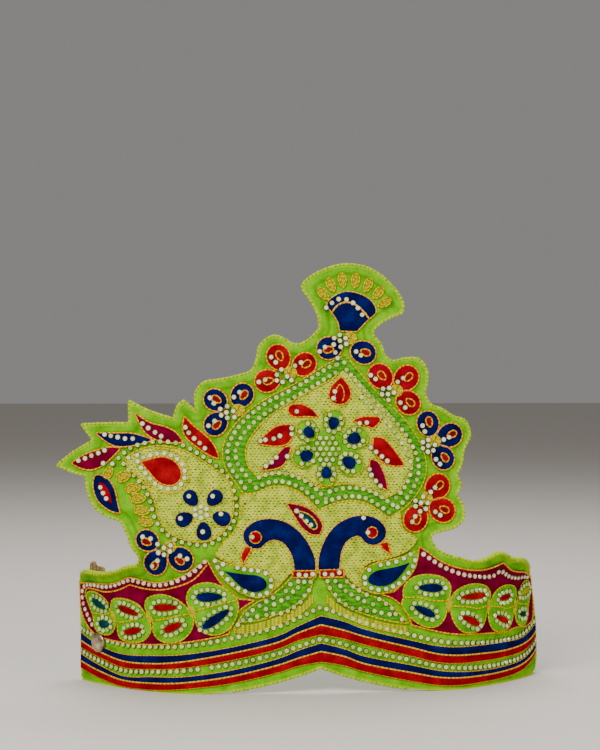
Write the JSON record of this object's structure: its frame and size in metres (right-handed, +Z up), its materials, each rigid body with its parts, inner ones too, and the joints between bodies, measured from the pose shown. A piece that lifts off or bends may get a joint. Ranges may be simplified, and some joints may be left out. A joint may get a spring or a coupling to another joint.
{
  "type": "mukut crown",
  "caption": "Ceremonial crown front of velvet patchwork with peacock, paisley and flower motifs and rows of small stones, standing on its curved hem.",
  "frame": {"origin": "centre of the bounding box, on the table under the hem", "axes": "+Z up, the decorated front faces -Y, +X to the right seen from the front"},
  "size_m": [0.223, 0.0522, 0.1893],
  "materials": {
    "lime_velvet": "short pile velvet over a stiff board",
    "green_satin": "bright satin",
    "navy_velvet": "short pile velvet",
    "red_velvet": "short pile velvet",
    "maroon_velvet": "short pile velvet",
    "pale_brocade": "woven brocade with small dark flecks",
    "white_stone": "small domed stones, glued",
    "beige_stud": "satin",
    "brown_webbing": "woven strip"
  },
  "bodies": {
    "root": {"base_panel": "lime_velvet", "border_flower_1": "navy_velvet", "border_flower_2": "navy_velvet", "border_flower_3": "red_velvet", "border_flower_4": "navy_velvet", "border_flower_5": "red_velvet", "border_flower_6": "navy_velvet", "border_flower_7": "red_velvet", "centre_flower": "lime_velvet", "eye_leaf": "maroon_velvet", "fan_patch": "navy_velvet", "leaf_pair_left_1": "lime_velvet", "leaf_pair_left_2": "lime_velvet", "leaf_pair_left_3": "lime_velvet", "leaf_pair_left_4": "lime_velvet", "leaf_pair_right_1": "lime_velvet", "leaf_pair_right_2": "lime_velvet", "leaf_pair_right_3": "lime_velvet", "leaf_pair_right_4": "lime_velvet", "medallion_border": "lime_velvet", "medallion_ground": "pale_brocade", "medallion_leaf_left": "red_velvet", "medallion_leaf_lower_left": "red_velvet", "medallion_leaf_lower_right": "red_velvet", "medallion_leaf_right": "red_velvet", "medallion_leaf_top": "red_velvet", "medallion_leaf_upper_left": "red_velvet", "medallion_leaf_upper_right": "red_velvet", "paisley_drop": "red_velvet", "paisley_flower": "navy_velvet", "paisley_ground": "pale_brocade", "peacock_ground": "pale_brocade", "peacock_left": "navy_velvet", "peacock_right": "navy_velvet", "plume_leaf_blue": "navy_velvet", "plume_leaf_maroon": "maroon_velvet", "plume_leaf_outer": "maroon_velvet", "plume_leaf_red": "red_velvet", "side_leaf": "navy_velvet", "side_panel_left": "maroon_velvet", "side_panel_right": "maroon_velvet", "snap_stud": "beige_stud", "stones_band_lower": "white_stone", "stones_band_upper": "white_stone", "stones_drop": "white_stone", "stones_medallion_inner": "white_stone", "stones_medallion_outer": "white_stone", "stones_paisley": "white_stone", "stones_panel_left": "white_stone", "stones_panel_right": "white_stone", "stripe_blue_lower": "navy_velvet", "stripe_blue_upper": "navy_velvet", "stripe_red_lower": "red_velvet", "stripe_red_upper": "red_velvet", "tail_left": "green_satin", "tail_right": "green_satin", "tie_tab": "brown_webbing", "wing_left": "lime_velvet", "wing_right": "lime_velvet"}
  },
  "joints": []
}
